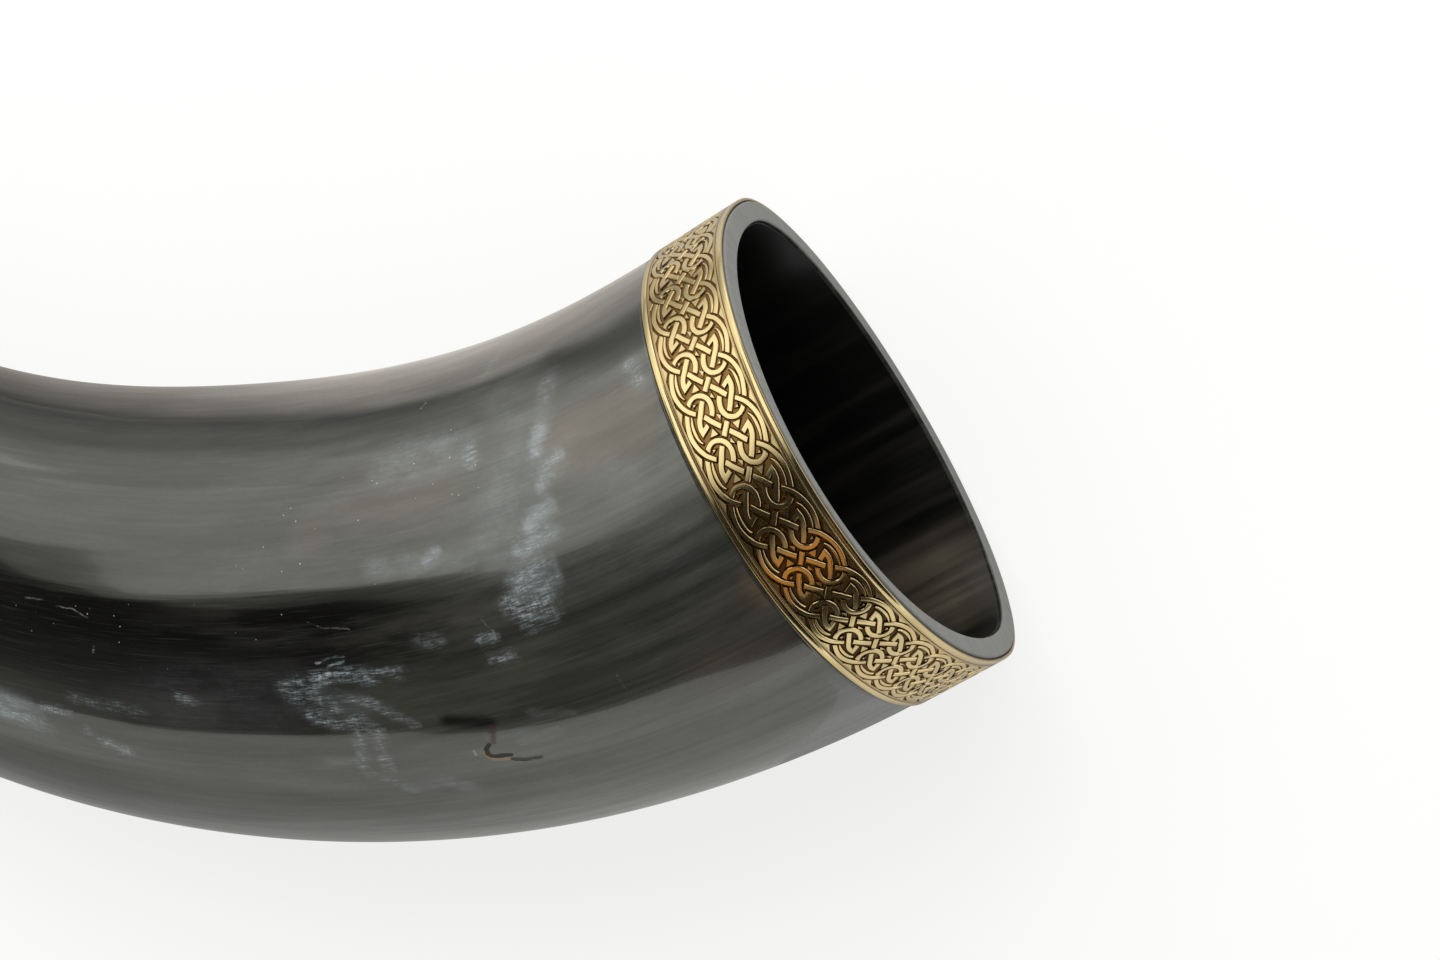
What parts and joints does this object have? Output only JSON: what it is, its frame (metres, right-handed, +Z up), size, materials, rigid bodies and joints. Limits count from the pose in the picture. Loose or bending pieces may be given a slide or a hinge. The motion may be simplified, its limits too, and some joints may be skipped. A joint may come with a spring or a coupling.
{
  "type": "drinking horn",
  "caption": "Curved drinking horn of polished dark horn, hollow from the mouth and solid at the tip, with an etched brass knotwork band round the rim.",
  "frame": {"origin": "on the ground under the middle of the horn's bounding box, with the horn lying on its flatter side", "axes": "+X out of the mouth, square to the rim; +Y towards the inside of the bend, where the tip curls round; +Z up"},
  "size_m": [0.2246, 0.303, 0.0942],
  "materials": {
    "polished_horn": "natural dark horn, polished outside, sanded matt on the rim",
    "etched_brass": "polished raised strands on a dark etched ground",
    "silver_solder": "filed silver solder",
    "dark_cement": "dull dark cement",
    "lacquered_hollow": "glossy clear lacquer over dark horn"
  },
  "bodies": {
    "root": {"horn_sheath": "polished_horn", "rim_band": "etched_brass", "band_seam_solder": "silver_solder", "band_bedding": "dark_cement", "inner_lining": "lacquered_hollow"}
  },
  "joints": []
}
